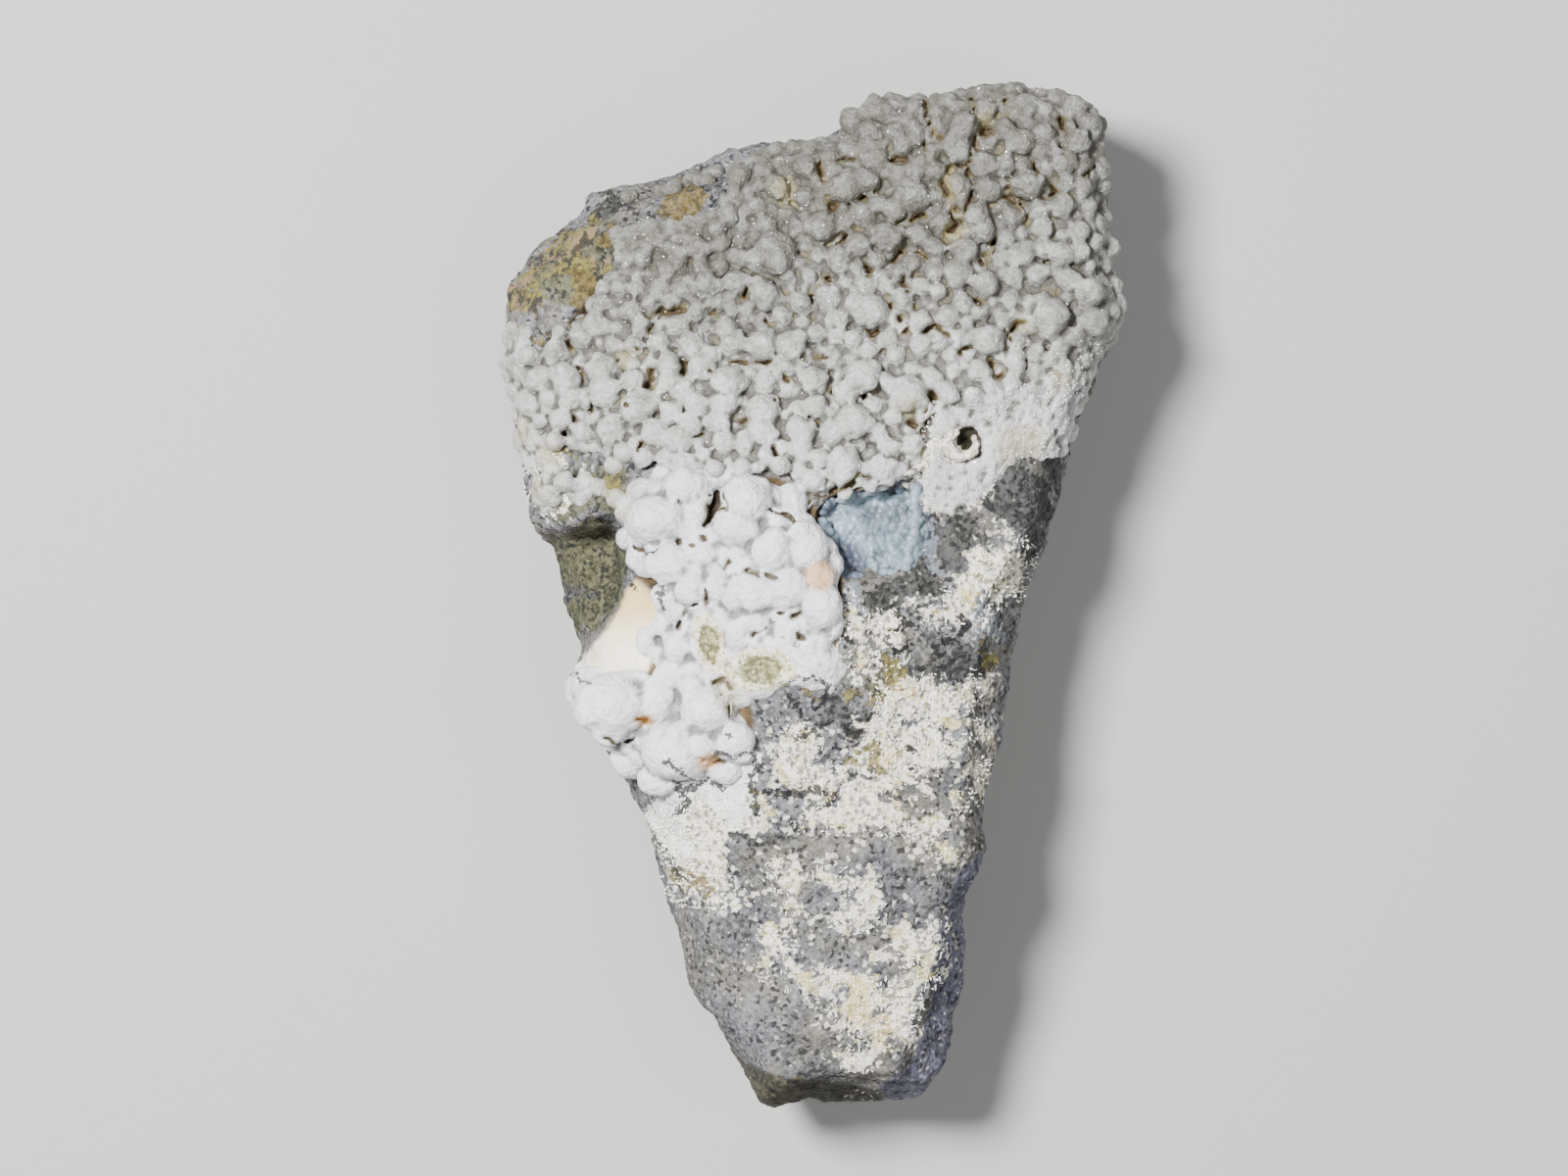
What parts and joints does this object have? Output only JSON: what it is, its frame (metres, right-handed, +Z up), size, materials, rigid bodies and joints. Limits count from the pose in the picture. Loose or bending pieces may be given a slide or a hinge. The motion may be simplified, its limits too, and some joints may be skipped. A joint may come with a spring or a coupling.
{
  "type": "clinoptilolite with chalcedony specimen",
  "caption": "Grey volcanic rock under a crust of rounded white chalcedony lumps, tapering to a bare pointed end; lies on its flat broken back",
  "frame": {"origin": "centre of the bounding box, on the flat back", "axes": "+Y towards the wide crusted end, +X to the right of the crusted face, +Z up out of the face"},
  "size_m": [0.0974, 0.16, 0.053],
  "materials": {
    "chalcedony_and_rock": "rough, sugary"
  },
  "bodies": {
    "root": {"chalcedony_specimen": "chalcedony_and_rock"}
  },
  "joints": []
}
